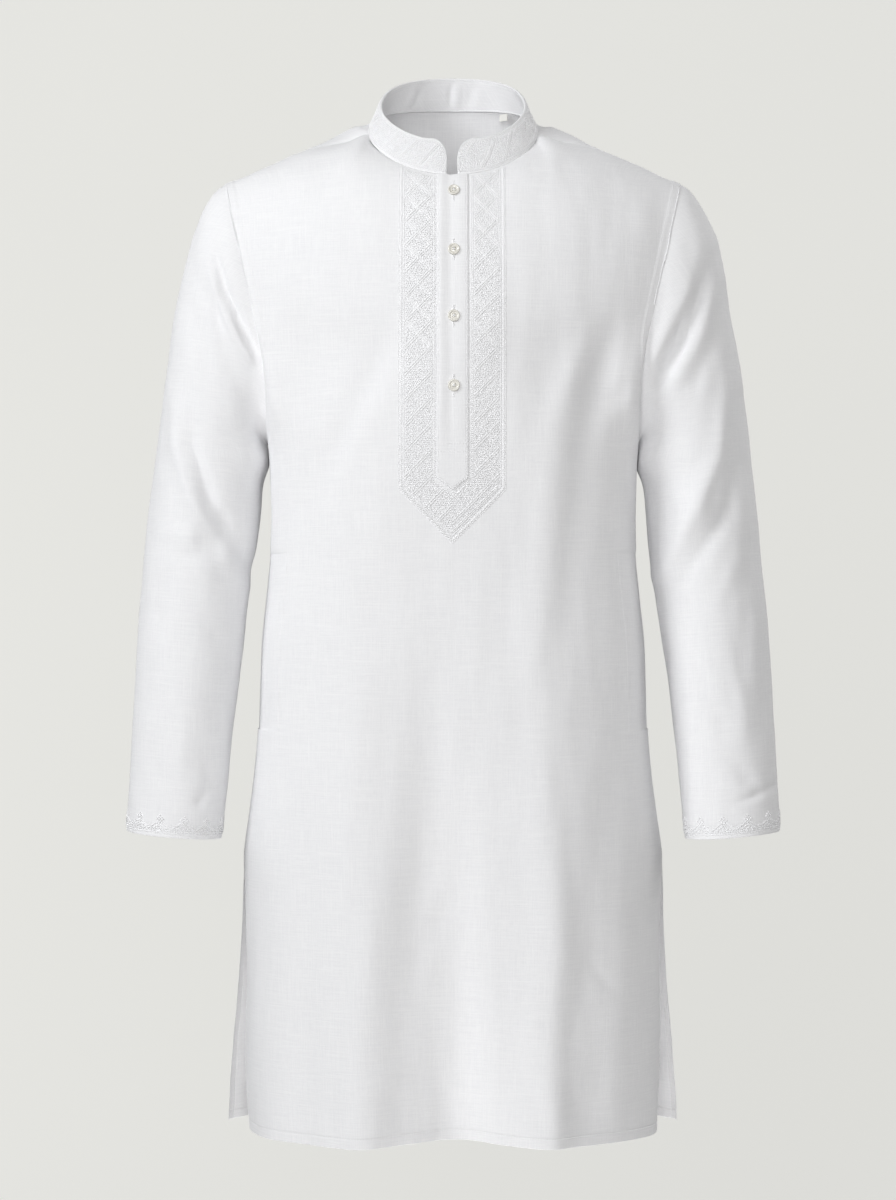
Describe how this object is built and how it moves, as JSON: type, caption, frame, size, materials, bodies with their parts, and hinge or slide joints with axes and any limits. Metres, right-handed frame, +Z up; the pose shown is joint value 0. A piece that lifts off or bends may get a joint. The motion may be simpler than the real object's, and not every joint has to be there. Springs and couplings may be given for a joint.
{
  "type": "kurta tunic",
  "caption": "Long-sleeved knee-length tunic with a stand collar, a short buttoned placket, side pockets and side slits, shown filled out with no wearer.",
  "frame": {"origin": "between the two neck points, where the shoulder seams meet the collar: the point it hangs from when worn or on a hanger", "axes": "+X towards the wearer's left side, -Y towards the front, +Z up along the body"},
  "size_m": [0.645, 0.2521, 1.0561],
  "materials": {
    "linen": "matt plain weave with slubs",
    "linen_facing": "matt plain weave, doubled and stitched",
    "button": "pearly gloss",
    "label": "satin ribbon"
  },
  "bodies": {
    "root": {"back_panel": "linen", "button_1": "button", "button_2": "button", "button_3": "button", "button_4": "button", "collar": "linen", "front_panel": "linen", "neck_label": "label", "placket_overlap": "linen_facing", "placket_underlap": "linen_facing", "pocket_facing_left": "linen_facing", "pocket_facing_right": "linen_facing", "sleeve_left": "linen", "sleeve_right": "linen"}
  },
  "joints": []
}
